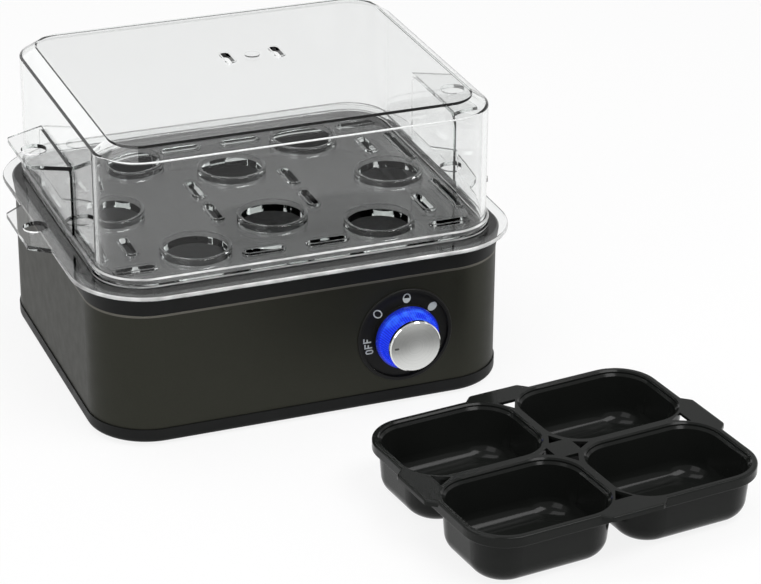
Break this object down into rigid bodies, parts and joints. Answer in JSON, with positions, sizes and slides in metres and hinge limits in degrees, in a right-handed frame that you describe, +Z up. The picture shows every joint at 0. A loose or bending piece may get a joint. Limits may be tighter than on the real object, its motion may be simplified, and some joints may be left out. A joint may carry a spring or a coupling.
{
  "type": "electric egg cooker",
  "caption": "Electric egg cooker with a metal-sleeved heated base, lit dial knob, clear egg tray with seats, clear bevelled lid and a separate poaching tray with cups.",
  "frame": {"origin": "on the table under the middle of the cooker's base, in the plane of its feet", "axes": "+Z up, -Y towards the dial at the front, +X to the right seen from the front"},
  "size_m": [0.2682, 0.3556, 0.1432],
  "materials": {
    "black_plastic": "satin moulded",
    "gunmetal_paint": "satin metallic",
    "clear_plastic": "clear polished",
    "dial_black": "smooth satin",
    "mark_white": "printed",
    "lit_blue": "translucent, lit from behind",
    "satin_silver": "satin with a bright edge",
    "dark_mark": "printed",
    "hub_plastic": "moulded",
    "pan_coating": "dark non-stick coating",
    "steel": "zinc plated",
    "element_sheath": "dull",
    "brass_pin": "plain",
    "white_insulator": "glazed",
    "rubber": "matt",
    "silicone": "soft",
    "board_green": "laminate",
    "component_black": "moulded",
    "wire_cover": "smooth",
    "poacher_black": "satin moulded"
  },
  "bodies": {
    "base": {"base_pan": "black_plastic", "top_rim": "black_plastic", "cord_gland": "black_plastic", "gland_nut": "black_plastic", "metal_sleeve": "gunmetal_paint", "dial_bezel": "dial_black", "bezel_nut": "dial_black", "dial_marks": "mark_white", "light_guide": "lit_blue", "leds": "lit_blue", "rotary_switch": "hub_plastic", "terminal_block": "hub_plastic", "water_pan": "pan_coating", "base_screws": "steel", "pan_studs": "steel", "stud_nuts": "steel", "heat_shield": "steel", "thermostat_strap": "steel", "strap_nuts": "steel", "power_board_screws": "steel", "control_board_screws": "steel", "heating_element": "element_sheath", "thermostat": "element_sheath", "element_pins": "brass_pin", "terminal_insulators": "white_insulator", "thermal_fuse": "white_insulator", "rubber_feet": "rubber", "pan_gasket": "silicone", "power_board": "board_green", "control_board": "board_green", "relay": "component_black", "buzzer": "component_black", "capacitor": "component_black", "live_lead": "wire_cover", "neutral_lead": "wire_cover", "element_lead": "wire_cover", "signal_lead": "wire_cover"},
    "knob": {"knob_shaft": "steel", "knob_hub": "hub_plastic", "knob_skirt": "lit_blue", "knob_cap": "satin_silver", "knob_pointer": "dark_mark"},
    "egg_tray": {"egg_tray": "clear_plastic"},
    "lid": {"lid": "clear_plastic"},
    "poaching_tray": {"poaching_tray": "poacher_black"}
  },
  "joints": [
    {"name": "knob_turn", "type": "hinge", "parent": "base", "child": "knob", "pos_m": [0.045, -0.0875, 0.0357], "axis": [0, 1, 0], "range_deg": [0, 150]},
    {"name": "tray_lift", "type": "slide", "parent": "base", "child": "egg_tray", "axis": [0, 0, 1], "range_m": [0, 0.06]},
    {"name": "lid_lift", "type": "slide", "parent": "egg_tray", "child": "lid", "axis": [0, 0, 1], "range_m": [0, 0.12]},
    {"name": "poaching_tray_lift", "type": "slide", "parent": "base", "child": "poaching_tray", "axis": [0, 0, 1], "range_m": [0, 0.08]}
  ]
}
